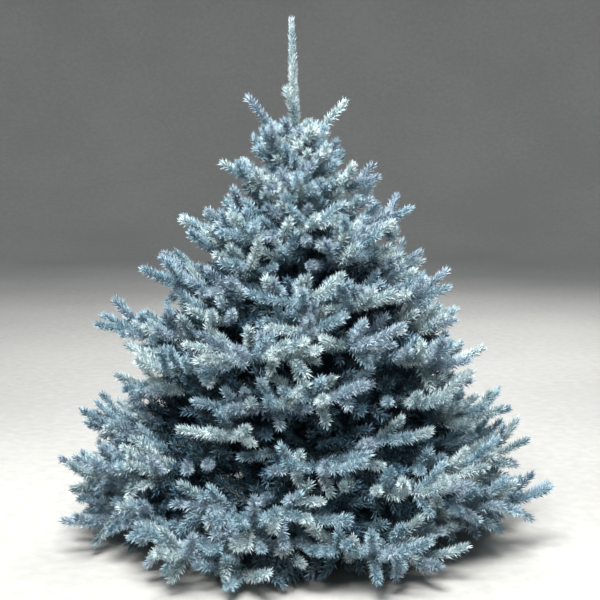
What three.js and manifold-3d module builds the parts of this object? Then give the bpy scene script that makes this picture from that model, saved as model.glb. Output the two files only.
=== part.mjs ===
// A blue spruce in a plain round pot: a whole young conifer, 1.8 m tall and 1.7 m across.
//
// One straight trunk runs from the compost to the tip of the leader. Boughs leave it in seven
// tiers, and each bough carries one flat fan of needle-clad sprays. The fans of the four upper
// tiers grow straight from the trunk. The three lower tiers have a bare limb first, which arches
// over the pot's rim and lets the lowest fans hang almost to the ground.
//
// Millimetres, +Z up. The origin is the centre of the pot's flat underside. +X is to the right
// of somebody who looks along +Y, and angles are counted from +X, anticlockwise seen from above.

import * as THREE from 'three';
import { mergeVertices } from 'three/addons/utils/BufferGeometryUtils.js';
import Module from 'manifold-3d';

const wasm = await Module();
wasm.setup();

// Overall sizes
const TREE_TOP = 1800;
const GAP = 0.3; // clearance between two solids that touch
const TRUNK_GAP = 0.4; // clearance that limbs and foliage are cut to round the trunk
const LIMB_END_GAP = 0.35; // between the end of a bare limb and its fan
const GROUND_CLEARANCE = 14;

// Pot
const POT_HEIGHT = 300;
const POT_FOOT_RADIUS = 178;
const POT_NECK_RADIUS = 214; // outer wall where it meets the lip
const POT_RIM_RADIUS = 228;
const POT_CHAMFER = 3;
const LIP_DEPTH = 36;
const LIP_WIDTH = 9;
const POT_WALL = 6;
const POT_FLOOR = 8;
const POT_SIDES = 24;
const DRAIN_HOLES = 4;
const DRAIN_RADIUS = 9;
const DRAIN_SIDES = 10;
const DRAIN_CIRCLE = 120;

// Compost
const COMPOST_LEVEL = 270;
const COMPOST_EDGE_DROP = 10;
const COMPOST_FLAT_RADIUS = 66;
const COMPOST_SHOULDER = 0.62; // where the fall towards the wall begins, as a share of the radius

// Trunk
const TRUNK_FOOT_RADIUS = 30;
const TRUNK_TIP_RADIUS = 3;
const ROOT_FLARE = 20;
const FLARE_DEPTH = 20;
const FLARE_STEPS = [0, 10, 24, 48, 90];
const TRUNK_STEPS = [500, 760, 1020, 1260, 1400, 1600];
const TRUNK_TAPER = 1.15;
const TRUNK_SIDES = 10;
const LEAN = -30; // how far the leader's tip stands to the left of the foot
const LEAN_BEND = 1.6; // above 1, the lean grows towards the tip

// Leader: the needles round the trunk's topmost shoot
const LEADER_FOOT = 1400;
const LEADER_END = 1792;
const LEADER_GIRTH = 18;
const LEADER_TIP_SHARE = 0.5;
const LEADER_CORE = 4.2; // depth of the needles' solid part over the bark
const LEADER_RINGS = 8;
const LEADER_NEEDLES = 3;

// Tiers, from the ground up. heights: control heights of the bough's curve at the trunk, at one
// third, at two thirds and at the tip. lifts: how far each bough's tip ends above or below that.
// stretch: the boughs that are longer or shorter than the tier's reach, as a factor. bare: the
// share of the bough's run that is a bare limb. turn: the angle of the tier's first bough. pairs:
// side sprays on each side of a fan. tops: upright ones.
const TIERS = [
  {
    boughs: 7, reach: 880, heights: [378, 415, 0, 235], lifts: [0, 60, -60, 60, 60, -60, -60],
    stretch: { 0: 1.05, 4: 0.93 }, bare: 0.34, turn: -16, pairs: 4, tops: 1,
  },
  {
    boughs: 6, reach: 775, heights: [520, 556, 330, 458], lifts: [-34, 34, -34, -80, 34, 0],
    stretch: { 4: 0.84, 5: 0.82 }, bare: 0.32, turn: 0, pairs: 4, tops: 1,
  },
  {
    boughs: 5, reach: 710, heights: [668, 710, 620, 740], lifts: [-34, -34, 34, 34, -56],
    stretch: { 4: 0.97 }, bare: 0.3, turn: 36, pairs: 4, tops: 2,
  },
  {
    boughs: 6, reach: 550, heights: [834, 876, 810, 930], lifts: [-34, 34, -34, 0, 34, 0],
    stretch: { 4: 1.1 }, bare: 0, turn: -28, pairs: 3, tops: 2,
  },
  {
    boughs: 5, reach: 418, heights: [1004, 1046, 1020, 1110], lifts: [34, -34, -16, 34, -34],
    stretch: { 2: 1.03 }, bare: 0, turn: 20, pairs: 3, tops: 2,
  },
  {
    boughs: 5, reach: 276, heights: [1176, 1214, 1226, 1292], lifts: [-34, 34, -34, 0, -20],
    stretch: {}, bare: 0, turn: -16, pairs: 2, tops: 1,
  },
  {
    boughs: 4, reach: 176, heights: [1344, 1390, 1446, 1520], lifts: [-16, -90, -10, -90],
    stretch: { 2: 0.95 }, bare: 0, turn: 22, pairs: 1, tops: 1,
  },
];

// Boughs
const BOUGH_SIDES = 5;
const BOUGH_STEPS = 3;
const BOUGH_FOOT_RADIUS = 0.0118; // of the bough's reach
const BOUGH_TIP_SHARE = 0.55; // radius where the limb ends, as a share of its foot
const TAPER_RUN = 0.3; // share of the run in which a bough without a bare limb tapers
const TWIG_RADIUS = 4;
const TURN_SPREAD = 4; // degrees either way
const REACH_SPREAD = 0.04;
const FAN_EDGE = 1.05; // run at which a fan's surface is level again
const LIFT_SPREAD = 12;

// Needle sprays: a slim core whose ring corners are drawn out into needles
const SPRAY_GIRTH = 34; // from the spray's axis to its needle tips
const LEAST_GIRTH_SHARE = 0.5; // of that girth, on the shortest spray
const FULL_GIRTH_LENGTH = 200; // a spray this long has all of it
const FATTEST_SHARE = 0.55; // of a spray's length, where it is fattest
const SLIMMING = 1.36; // how fast it slims towards both ends
const MOST_GIRTH_OF_REACH = 0.14;
const CORE_SHARE = 0.4;
const SPRAY_SPACING = 66; // between two rings of needles
const SPRAY_LEAST_RINGS = 2;
const SPRAY_MOST_RINGS = 4;
const SPRAY_NEEDLES = 2; // needles in one ring
const STEM_SPACING = 100;
const STEM_LEAST_RINGS = 3;
const FIRST_RING = 0.55; // in ring spacings from the foot
const NEEDLE_SWEEP = 0.5; // how far a needle leans forward, in ring spacings

// Side sprays of a fan
const FIRST_SPRAY = 0.1; // share of the fan's run where its first pair leaves the stem
const LAST_SPRAY = 0.78;
const PAIR_OFFSET = 0.22; // the two of a pair leave the stem this far before and after its place
const SPRAY_ANGLE = 47;
const SPRAY_ANGLE_SPREAD = 6;
const SPRAY_SHARE = 0.76; // a spray's length against the run from its foot to the bough's tip
const SPRAY_LEAST = 165;
const FULL_SIZE_REACH = 340; // below this reach, the least spray is shorter in proportion
const SPRAY_CLIMB = 26;
const CLIMB_SPREAD = 40;
const LEVELLING = 0.4; // how far the climb makes up for the bough's own lift
const FORKED_SPRAY = 330; // a spray longer than this forks
const FORK_SHARE = 0.4; // of the spray's length, where its fork leaves it
const FORK_ANGLE = 36;
const FORK_LENGTH = 190;
const FORK_CLIMB = 0.5; // of the climb of its spray

// Upright sprays of a fan
const TOP_PLACE = 0.35;
const TOP_PLACE_SPREAD = 0.3;
const TOP_LENGTH = 150;
const TOP_CLIMB = 112;
const TOP_FULL_REACH = 420;
const TOP_TURN = 28;
const TOP_MARGIN = 0.5; // free stem past the last of them, against the space between two

// Seeds: each bough, and each pair of sprays on it, has its own row of whole numbers
const SEEDS_PER_BOUGH = 100;
const SEEDS_PER_PAIR = 10;
const FIRST_TOP_SEED = 60;

const SHORTER_TRIES = [1, 0.86, 0.72, 0.6]; // a spray that leaves its space is tried shorter
const PROBES = [0.45, 0.6, 0.75, 0.9]; // shares of a spray that have to lie inside its space
const AXIS_STEP = 0.01; // share of a path over which its direction is taken
const WELD = 1e-3; // corners closer than this are one

const UP = new THREE.Vector3(0, 0, 1);
const radians = THREE.MathUtils.degToRad;
const lerp = THREE.MathUtils.lerp;

// A number from 0 to 1 that depends only on the three whole numbers given.
function chance(a, b, c) {
  const wave = Math.sin(a * 12.9898 + b * 78.233 + c * 37.719) * 43758.5453;
  return wave - Math.floor(wave);
}

// The same, from -1 to 1.
const swing = (a, b, c) => 2 * chance(a, b, c) - 1;

// Solids and meshes

function solidOf(geometry) {
  geometry.deleteAttribute('normal');
  geometry.deleteAttribute('uv');
  const merged = mergeVertices(geometry, WELD);
  return new wasm.Manifold(new wasm.Mesh({
    numProp: 3,
    vertProperties: new Float32Array(merged.attributes.position.array),
    triVerts: new Uint32Array(merged.index.array),
  }));
}

function geometryOf(solid) {
  const mesh = solid.getMesh();
  const positions = new Float32Array(mesh.numVert * 3);
  for (let i = 0; i < mesh.numVert; i++) {
    positions.set(mesh.vertProperties.subarray(i * mesh.numProp, i * mesh.numProp + 3), i * 3);
  }
  const geometry = new THREE.BufferGeometry();
  geometry.setAttribute('position', new THREE.BufferAttribute(positions, 3));
  geometry.setIndex(new THREE.BufferAttribute(new Uint32Array(mesh.triVerts), 1));
  geometry.computeVertexNormals();
  return geometry;
}

function geometryFrom(points, faces) {
  const flat = points.flatMap((point) => [point.x, point.y, point.z]);
  const geometry = new THREE.BufferGeometry();
  geometry.setAttribute('position', new THREE.Float32BufferAttribute(flat, 3));
  geometry.setIndex(faces.flat());
  return geometry;
}

// The largest single body of a solid, so that a scrap that a cut leaves is dropped.
function largestBody(solid) {
  const bodies = solid.decompose();
  return bodies.reduce((best, body) => (body.volume() > best.volume() ? body : best));
}

function named(name, solid, material) {
  const mesh = new THREE.Mesh(geometryOf(solid), material);
  mesh.name = name;
  return mesh;
}

// Two directions square to an axis: one level, one as upright as the axis allows.
function crossAxes(axis) {
  const level = new THREE.Vector3().crossVectors(UP, axis);
  if (level.lengthSq() < 1e-6) level.set(1, 0, 0);
  level.normalize();
  return [level, new THREE.Vector3().crossVectors(axis, level)];
}

// A closed skin over rings with equal counts of corners, closed by a point at each end.
function skinOver(rings, firstPoint, lastPoint, splitAt) {
  const size = rings[0].length;
  const points = [...rings.flat(), firstPoint, lastPoint];
  const first = rings.length * size;
  const faces = [];
  for (let k = 0; k < size; k++) {
    const next = (k + 1) % size;
    faces.push([first, next, k]);
    faces.push([first + 1, first - size + k, first - size + next]);
    for (let i = 0; i + 1 < rings.length; i++) {
      const [a, b] = [i * size + k, i * size + next];
      const [c, d] = [a + size, b + size];
      if (splitAt(i, k)) faces.push([a, b, c], [b, d, c]);
      else faces.push([a, b, d], [a, d, c]);
    }
  }
  return solidOf(geometryFrom(points, faces));
}

// A tapering limb through a row of centres.
function limb(centres, radii, sides) {
  const rings = centres.map((centre, i) => {
    const before = centres[Math.max(0, i - 1)];
    const after = centres[Math.min(centres.length - 1, i + 1)];
    const [level, upright] = crossAxes(after.clone().sub(before).normalize());
    return Array.from({ length: sides }, (_, k) => {
      const angle = (2 * Math.PI * k) / sides;
      return centre.clone()
        .addScaledVector(level, radii[i] * Math.cos(angle))
        .addScaledVector(upright, radii[i] * Math.sin(angle));
    });
  });
  return skinOver(rings, centres[0], centres[centres.length - 1], () => false);
}

// A skin round a path, of rings whose corners are by turns a needle tip and a hollow between two
// needles. With a foot radius it begins as a round stem that is cut flat.
function needleSkin({ pathAt, ringCount, needles, girthAt, coreAt, twist, footRadius = 0 }) {
  const spacing = 1 / (ringCount + FIRST_RING);
  const ringRound = (share, cornerOf) => {
    const axis = pathAt(share + AXIS_STEP).sub(pathAt(share - AXIS_STEP)).normalize();
    const [level, upright] = crossAxes(axis);
    return Array.from({ length: 2 * needles }, (_, k) => {
      const { radius, forward } = cornerOf(k);
      const angle = (Math.PI * k) / needles + twist;
      return pathAt(share + forward)
        .addScaledVector(level, radius * Math.cos(angle))
        .addScaledVector(upright, radius * Math.sin(angle));
    });
  };
  const rings = Array.from({ length: ringCount }, (_, i) => {
    const share = (i + FIRST_RING) * spacing;
    return ringRound(share, (k) => ((k + i) % 2 === 0
      ? { radius: girthAt(share), forward: NEEDLE_SWEEP * spacing }
      : { radius: coreAt(share), forward: 0 }));
  });
  if (footRadius > 0) rings.unshift(ringRound(0, () => ({ radius: footRadius, forward: 0 })));
  const shift = footRadius > 0 ? 1 : 0;
  return skinOver(rings, pathAt(0), pathAt(1), (i, k) => (k + i + shift) % 2 === 0);
}

// A spray is slim where it leaves its twig, fat past the middle and blunt at its tip.
const sprayGirth = (girth, share) => girth * (1 - SLIMMING * (share - FATTEST_SHARE) ** 2);

// Trunk

const trunkFoot = COMPOST_LEVEL + GAP;

function trunkRadius(z) {
  const left = (TREE_TOP - z) / (TREE_TOP - trunkFoot);
  const taper = lerp(TRUNK_TIP_RADIUS, TRUNK_FOOT_RADIUS, Math.max(0, left) ** TRUNK_TAPER);
  return taper + ROOT_FLARE * Math.exp(-Math.max(0, z - trunkFoot) / FLARE_DEPTH);
}

function trunkCentre(z) {
  const share = Math.max(0, (z - trunkFoot) / (TREE_TOP - trunkFoot));
  return new THREE.Vector3(LEAN * share ** LEAN_BEND, 0, z);
}

function makeTrunk(extra) {
  const heights = [...FLARE_STEPS.map((step) => trunkFoot + step), ...TRUNK_STEPS, TREE_TOP];
  const rings = heights.map((z) => Array.from({ length: TRUNK_SIDES }, (_, k) => {
    const angle = (2 * Math.PI * k) / TRUNK_SIDES;
    const radius = trunkRadius(z) + extra;
    return trunkCentre(z).add(new THREE.Vector3(radius * Math.cos(angle), radius * Math.sin(angle), 0));
  }));
  return skinOver(rings, trunkCentre(trunkFoot), trunkCentre(TREE_TOP), () => false);
}

const trunk = makeTrunk(0);
const roundTrunk = makeTrunk(TRUNK_GAP);

// Pot and compost

function lathe(profile) {
  const points = profile.map(([radius, z]) => new THREE.Vector2(radius, z));
  const geometry = new THREE.LatheGeometry(points, POT_SIDES);
  geometry.rotateX(Math.PI / 2);
  return solidOf(geometry);
}

const potNeck = POT_HEIGHT - LIP_DEPTH;
const wallSlope = (POT_NECK_RADIUS - POT_FOOT_RADIUS) / potNeck;
const innerWallRadius = (z) => POT_FOOT_RADIUS - POT_WALL + wallSlope * z;

function makePot() {
  const shell = lathe([
    [0, 0],
    [POT_FOOT_RADIUS - POT_CHAMFER, 0],
    [POT_FOOT_RADIUS, POT_CHAMFER],
    [POT_NECK_RADIUS, potNeck],
    [POT_RIM_RADIUS - POT_CHAMFER, potNeck + POT_CHAMFER],
    [POT_RIM_RADIUS, potNeck + 2 * POT_CHAMFER],
    [POT_RIM_RADIUS, POT_HEIGHT - POT_CHAMFER],
    [POT_RIM_RADIUS - POT_CHAMFER, POT_HEIGHT],
    [POT_RIM_RADIUS - LIP_WIDTH, POT_HEIGHT - POT_CHAMFER],
    [innerWallRadius(potNeck), potNeck + POT_CHAMFER],
    [innerWallRadius(POT_FLOOR), POT_FLOOR],
    [0, POT_FLOOR],
  ]);
  return Array.from({ length: DRAIN_HOLES }, (_, k) => (2 * Math.PI * (k + 0.5)) / DRAIN_HOLES)
    .reduce((pot, angle) => {
      const hole = new THREE.CylinderGeometry(DRAIN_RADIUS, DRAIN_RADIUS, 3 * POT_FLOOR, DRAIN_SIDES);
      hole.rotateX(Math.PI / 2);
      hole.translate(DRAIN_CIRCLE * Math.cos(angle), DRAIN_CIRCLE * Math.sin(angle), 0);
      return pot.subtract(solidOf(hole));
    }, shell);
}

function makeCompost() {
  const foot = POT_FLOOR + GAP;
  const edge = COMPOST_LEVEL - COMPOST_EDGE_DROP;
  const clear = 2 * GAP;
  return lathe([
    [0, foot],
    [innerWallRadius(foot) - clear, foot],
    [innerWallRadius(edge) - clear, edge],
    [COMPOST_SHOULDER * innerWallRadius(edge), lerp(edge, COMPOST_LEVEL, 0.5)],
    [COMPOST_FLAT_RADIUS, COMPOST_LEVEL],
    [0, COMPOST_LEVEL],
  ]);
}

// Boughs: a fan's place is told by its run, from 0 on the trunk's axis to 1 at the bough's tip

function curveHeight(heights, q) {
  const p = 1 - q;
  const [atTrunk, atThird, atTwoThirds, atTip] = heights;
  return p ** 3 * atTrunk + 3 * p * p * q * atThird + 3 * p * q * q * atTwoThirds + q ** 3 * atTip;
}

function makeBough(tierIndex, index) {
  const tier = TIERS[tierIndex];
  const sector = (2 * Math.PI) / tier.boughs;
  const sectorAngle = radians(tier.turn) + index * sector;
  const angle = sectorAngle + radians(TURN_SPREAD) * swing(tierIndex, index, 1);
  return {
    tier,
    tierIndex,
    index,
    sector,
    sectorAngle,
    reach: tier.reach * (tier.stretch[index] ?? 1) * (1 + REACH_SPREAD * swing(tierIndex, index, 2)),
    lift: tier.lifts[index] + LIFT_SPREAD * swing(tierIndex, index, 3),
    outward: new THREE.Vector3(Math.cos(angle), Math.sin(angle), 0),
    sideways: new THREE.Vector3(-Math.sin(angle), Math.cos(angle), 0),
    axis: trunkCentre(tier.heights[0]),
  };
}

// The point of a bough's umbrella-shaped fan that lies out and aside by these lengths.
function fanPoint(bough, out, aside, rise = 0) {
  const run = Math.hypot(out, aside) / bough.reach;
  const height = curveHeight(bough.tier.heights, Math.min(run, FAN_EDGE)) + bough.lift * Math.min(run, 1);
  return new THREE.Vector3(bough.axis.x, bough.axis.y, height + rise)
    .addScaledVector(bough.outward, out)
    .addScaledVector(bough.sideways, aside);
}

// How far a point stands clear of everything that bounds the bough's own space.
function clearance(bough, point) {
  const x = point.x - bough.axis.x;
  const y = point.y - bough.axis.y;
  const radius = Math.hypot(x, y);
  const offset = Math.atan2(y, x) - bough.sectorAngle;
  const turned = Math.abs(Math.atan2(Math.sin(offset), Math.cos(offset)));
  const besideNeighbour = radius * Math.sin(Math.min(Math.PI / 2, bough.sector / 2 - turned));
  const shell = (tierIndex) => {
    const tier = TIERS[tierIndex];
    return curveHeight(tier.heights, Math.min(1, radius / tier.reach));
  };
  const own = shell(bough.tierIndex);
  const isTop = bough.tierIndex + 1 === TIERS.length;
  const above = isTop ? TREE_TOP : (own + shell(bough.tierIndex + 1)) / 2;
  const below = bough.tierIndex > 0 ? (own + shell(bough.tierIndex - 1)) / 2 : GROUND_CLEARANCE;
  const trunkSide = radius - trunkRadius(point.z);
  const potSide = Math.max(radius - POT_RIM_RADIUS, point.z - POT_HEIGHT);
  return Math.min(besideNeighbour, above - point.z, point.z - below, trunkSide, potSide);
}

function boughRadius(bough, run) {
  const foot = BOUGH_FOOT_RADIUS * bough.reach;
  const share = Math.min(1, run / Math.max(bough.tier.bare, TAPER_RUN));
  return Math.max(TWIG_RADIUS, foot * lerp(1, BOUGH_TIP_SHARE, share));
}

// The bare limb, from the trunk's bark to where the fan begins.
function makeLimb(bough) {
  const runs = Array.from({ length: BOUGH_STEPS + 1 }, (_, i) => (bough.tier.bare * i) / BOUGH_STEPS);
  const centres = runs.map((run) => fanPoint(bough, run * bough.reach, 0));
  return limb(centres, runs.map((run) => boughRadius(bough, run)), BOUGH_SIDES).subtract(roundTrunk);
}

// A path that leaves a point of the fan at an angle to the bough and climbs as it goes.
function strand(bough, start, angle, length, climb) {
  return (share) => fanPoint(
    bough,
    start.out + share * length * Math.cos(angle),
    start.aside + share * length * Math.sin(angle),
    start.rise + share * climb,
  );
}

// The longest spray that fits the bough's own space, or nothing.
function makeSpray(bough, start, angle, wanted, climb, seed) {
  const girth = SPRAY_GIRTH * Math.min(1, lerp(LEAST_GIRTH_SHARE, 1, wanted / FULL_GIRTH_LENGTH));
  for (const shorter of SHORTER_TRIES) {
    const length = wanted * shorter;
    const pathAt = strand(bough, start, angle, length, climb * shorter);
    const fits = PROBES.every((share) => clearance(bough, pathAt(share)) > sprayGirth(girth, share) + GAP);
    if (!fits) continue;
    const rings = Math.max(SPRAY_LEAST_RINGS, Math.round(length / SPRAY_SPACING));
    const solid = needleSkin({
      pathAt,
      ringCount: Math.min(SPRAY_MOST_RINGS, rings),
      needles: SPRAY_NEEDLES,
      girthAt: (share) => sprayGirth(girth, share),
      coreAt: () => CORE_SHARE * girth,
      twist: Math.PI * chance(bough.tierIndex, seed, 8),
    });
    return { solid, length };
  }
  return null;
}

// One side spray, with a fork on its forward side where it is long.
function makeSideSpray(bough, firstRun, pair, side) {
  const { tier, tierIndex, index, reach, lift } = bough;
  const seed = SEEDS_PER_BOUGH * index + SEEDS_PER_PAIR * pair + side + 2;
  const place = lerp(FIRST_SPRAY, LAST_SPRAY, (pair + 0.5 + PAIR_OFFSET * side) / tier.pairs);
  const run = lerp(firstRun, 1, place);
  const start = { out: run * reach, aside: 0, rise: 0 };
  const angle = side * radians(SPRAY_ANGLE + SPRAY_ANGLE_SPREAD * swing(tierIndex, seed, 4));
  const least = SPRAY_LEAST * Math.min(1, reach / FULL_SIZE_REACH);
  const wanted = Math.max(least, SPRAY_SHARE * (1 - run) * reach);
  const climb = SPRAY_CLIMB + CLIMB_SPREAD * swing(tierIndex, seed, 5) - LEVELLING * lift;
  const main = makeSpray(bough, start, angle, wanted, climb, seed);
  if (!main) return [];
  if (main.length < FORKED_SPRAY) return [main.solid];
  const forkFoot = {
    out: start.out + FORK_SHARE * main.length * Math.cos(angle),
    aside: FORK_SHARE * main.length * Math.sin(angle),
    rise: FORK_SHARE * climb,
  };
  const forkAngle = angle - side * radians(FORK_ANGLE);
  const fork = makeSpray(bough, forkFoot, forkAngle, FORK_LENGTH, FORK_CLIMB * climb, seed + 3);
  return fork ? [main.solid, fork.solid] : [main.solid];
}

// A spray that stands up from the fan's stem.
function makeTopSpray(bough, firstRun, i) {
  const { tier, tierIndex, index, reach } = bough;
  const seed = SEEDS_PER_BOUGH * index + FIRST_TOP_SEED + i;
  const shift = TOP_PLACE + TOP_PLACE_SPREAD * chance(tierIndex, seed, 7);
  const place = (i + shift) / (tier.tops + TOP_MARGIN);
  const start = { out: lerp(firstRun, 1, place) * reach, aside: 0, rise: 0 };
  const size = Math.min(1, reach / TOP_FULL_REACH);
  const angle = radians(TOP_TURN) * swing(tierIndex, seed, 4);
  const spray = makeSpray(bough, start, angle, size * TOP_LENGTH, size * TOP_CLIMB, seed);
  return spray ? [spray.solid] : [];
}

// The fan's own stem with its needles, from the limb's end (or the trunk's bark) to the tip.
function makeStem(bough, firstRun) {
  const { reach, tierIndex, index } = bough;
  const girth = Math.min(SPRAY_GIRTH, MOST_GIRTH_OF_REACH * reach);
  const footRadius = boughRadius(bough, firstRun);
  const rings = Math.round(((1 - firstRun) * reach) / STEM_SPACING);
  return needleSkin({
    pathAt: (share) => fanPoint(bough, lerp(firstRun, 1, share) * reach, 0),
    ringCount: Math.max(STEM_LEAST_RINGS, rings),
    needles: SPRAY_NEEDLES,
    girthAt: (share) => sprayGirth(girth, share),
    coreAt: (share) => Math.max(CORE_SHARE * girth, footRadius * (1 - share)),
    twist: Math.PI * chance(tierIndex, index, 6),
    footRadius,
  });
}

function makeFan(bough) {
  const { tier, reach } = bough;
  const firstRun = tier.bare > 0 ? tier.bare + LIMB_END_GAP / reach : 0;
  const pieces = [makeStem(bough, firstRun)];
  for (let pair = 0; pair < tier.pairs; pair++) {
    for (const side of [-1, 1]) pieces.push(...makeSideSpray(bough, firstRun, pair, side));
  }
  for (let i = 0; i < tier.tops; i++) pieces.push(...makeTopSpray(bough, firstRun, i));
  const joined = pieces.reduce((fan, piece) => fan.add(piece));
  return largestBody(tier.bare > 0 ? joined : joined.subtract(roundTrunk));
}

// Leader

function makeLeader() {
  const heightAt = (share) => lerp(LEADER_FOOT, LEADER_END, share);
  const skin = needleSkin({
    pathAt: (share) => trunkCentre(heightAt(share)),
    ringCount: LEADER_RINGS,
    needles: LEADER_NEEDLES,
    girthAt: (share) => LEADER_GIRTH * lerp(1, LEADER_TIP_SHARE, share),
    coreAt: (share) => trunkRadius(heightAt(share)) + LEADER_CORE,
    twist: 0,
  });
  return largestBody(skin.subtract(roundTrunk));
}

// Materials
const finish = (color, roughness) => new THREE.MeshStandardMaterial({ color, roughness, metalness: 0 });
const potPlastic = finish(0x35373a, 0.55);
const pottingMix = finish(0x3a2a20, 0.95);
const bark = finish(0x6b5547, 0.9);
const needles = finish(0x8fabb8, 0.7);

const spruce = new THREE.Group();
spruce.name = 'potted_blue_spruce';
spruce.add(named('pot', makePot(), potPlastic));
spruce.add(named('compost', makeCompost(), pottingMix));
spruce.add(named('trunk', trunk, bark));
spruce.add(named('leader_needles', makeLeader(), needles));
TIERS.forEach((tier, tierIndex) => {
  for (let index = 0; index < tier.boughs; index++) {
    const bough = makeBough(tierIndex, index);
    const label = `tier${tierIndex + 1}_${index + 1}`;
    if (tier.bare > 0) spruce.add(named(`bough_${label}`, makeLimb(bough), bark));
    spruce.add(named(`foliage_${label}`, makeFan(bough), needles));
  }
});

export default spruce;
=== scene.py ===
# A blue spruce in a plain round pot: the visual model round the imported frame.
#
# Metres, +Z up, in the frame of the CAD model: the origin is the centre of the pot's underside.
# The sections follow the plant as it is put together: pot, compost, trunk, limbs, shoots, twigs,
# needles, buds and leader, and then the floor and the lights.

import math

import bpy
import numpy as np
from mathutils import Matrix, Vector


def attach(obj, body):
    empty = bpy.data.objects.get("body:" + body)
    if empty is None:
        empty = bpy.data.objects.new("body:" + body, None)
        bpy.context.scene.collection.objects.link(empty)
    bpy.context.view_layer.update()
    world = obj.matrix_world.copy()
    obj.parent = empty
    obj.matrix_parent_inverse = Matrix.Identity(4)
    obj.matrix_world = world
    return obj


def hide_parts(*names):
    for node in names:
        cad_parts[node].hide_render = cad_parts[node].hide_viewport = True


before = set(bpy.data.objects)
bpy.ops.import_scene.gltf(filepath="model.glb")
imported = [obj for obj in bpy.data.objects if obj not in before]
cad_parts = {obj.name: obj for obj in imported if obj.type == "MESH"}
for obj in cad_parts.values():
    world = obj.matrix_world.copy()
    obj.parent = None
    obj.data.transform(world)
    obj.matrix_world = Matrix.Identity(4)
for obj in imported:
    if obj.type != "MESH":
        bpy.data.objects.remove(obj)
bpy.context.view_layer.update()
scene = bpy.context.scene

# Camera
# It stands at eye height, 4.5 m in front of the trunk, and looks a little down, so that the
# leader's tip is near the top edge of a square picture and the lowest sprays near its foot.

CAMERA_PLACE = (0.0, -4.5, 1.45)
CAMERA_PITCH = math.radians(7.95)
CAMERA_LENS = 77.8

camera_data = bpy.data.cameras.new("camera")
camera_data.lens = CAMERA_LENS
camera = bpy.data.objects.new("camera", camera_data)
camera.location = CAMERA_PLACE
camera.rotation_euler = (math.pi / 2 - CAMERA_PITCH, 0, 0)
scene.collection.objects.link(camera)
scene.camera = camera
scene.view_settings.view_transform = "Standard"

# Pot
# A nursery container of charcoal polypropylene, injection moulded in one piece: a tapering wall
# under a deep turned-out lip, with four drain holes in its floor.

POT_HEIGHT = 0.3
POT_FOOT_RADIUS = 0.178
POT_NECK_RADIUS = 0.214
POT_RIM_RADIUS = 0.228
POT_WALL = 0.006
POT_FLOOR = 0.008
LIP_DEPTH = 0.036
LIP_WIDTH = 0.009
POT_ROUNDING = 0.003
POT_SIDES = 128
DRAIN_HOLES = 4
DRAIN_RADIUS = 0.009
DRAIN_CIRCLE = 0.12
POT_GRIT = 0.0012  # the spark-eroded grain of the mould, drawn twice as coarse as it is
POT_DUST = 0.09  # size of the dusty patches
POT_SHARP_ANGLE = math.radians(50)
CENTRE_RADIUS = 1e-4  # of the innermost ring of a turned form
MOST_ROUNDED = 0.45  # share of an edge that a rounded corner may take up
TONE_SPAN = (0.4, 0.6)  # the span of a noise's values over which two tones blend
GLOSS_SPAN = (0.3, 0.7)  # and the span over which the roughness rises


def linear(hex_colour):
    """An sRGB hex colour as linear RGBA."""
    parts = [int(hex_colour[i : i + 2], 16) / 255 for i in (1, 3, 5)]
    return [p / 12.92 if p <= 0.04045 else ((p + 0.055) / 1.055) ** 2.4 for p in parts] + [1.0]


def add_node(tree, kind, settings=(), links=()):
    """A node of that kind with its settings, and links from other nodes' sockets to its own."""
    node = tree.nodes.new(kind)
    for name, value in dict(settings).items():
        if name in node.inputs:
            node.inputs[name].default_value = value
        else:
            setattr(node, name, value)
    for name, source in dict(links).items():
        tree.links.new(source, node.inputs[name])
    return node


def two_tone_material(name, colours, grain, patches, roughness, relief=0.0, **shader):
    """A surface whose colour runs between two hex tones, by broad patches and a fine grain.

    grain and patches are real sizes in metres, roughness is a lowest and a highest value,
    relief is the height of the grain in metres, and shader holds constant shader sockets.
    """
    material = bpy.data.materials.new(name)
    material.use_nodes = True
    tree = material.node_tree
    surface = tree.nodes["Principled BSDF"]
    for socket, value in shader.items():
        surface.inputs[socket.replace("_", " ")].default_value = value
    place = add_node(tree, "ShaderNodeTexCoord").outputs["Object"]
    fine = add_node(
        tree, "ShaderNodeTexNoise", {"Scale": 1 / grain, "Detail": 3.0}, {"Vector": place}
    ).outputs["Fac"]
    broad = add_node(
        tree, "ShaderNodeTexNoise", {"Scale": 1 / patches, "Detail": 2.0}, {"Vector": place}
    ).outputs["Fac"]
    both = add_node(tree, "ShaderNodeMix", {}, {"A": fine, "B": broad}).outputs["Result"]
    tones = add_node(tree, "ShaderNodeValToRGB", {}, {"Fac": both})
    for stop, share, colour in zip(tones.color_ramp.elements, TONE_SPAN, colours):
        stop.position = share
        stop.color = linear(colour)
    tree.links.new(tones.outputs["Color"], surface.inputs["Base Color"])
    gloss = add_node(
        tree,
        "ShaderNodeMapRange",
        {
            "From Min": GLOSS_SPAN[0],
            "From Max": GLOSS_SPAN[1],
            "To Min": roughness[0],
            "To Max": roughness[1],
        },
        {"Value": broad},
    ).outputs["Result"]
    tree.links.new(gloss, surface.inputs["Roughness"])
    if relief:
        bump = add_node(tree, "ShaderNodeBump", {"Distance": relief}, {"Height": fine})
        tree.links.new(bump.outputs["Normal"], surface.inputs["Normal"])
    return material


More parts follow.
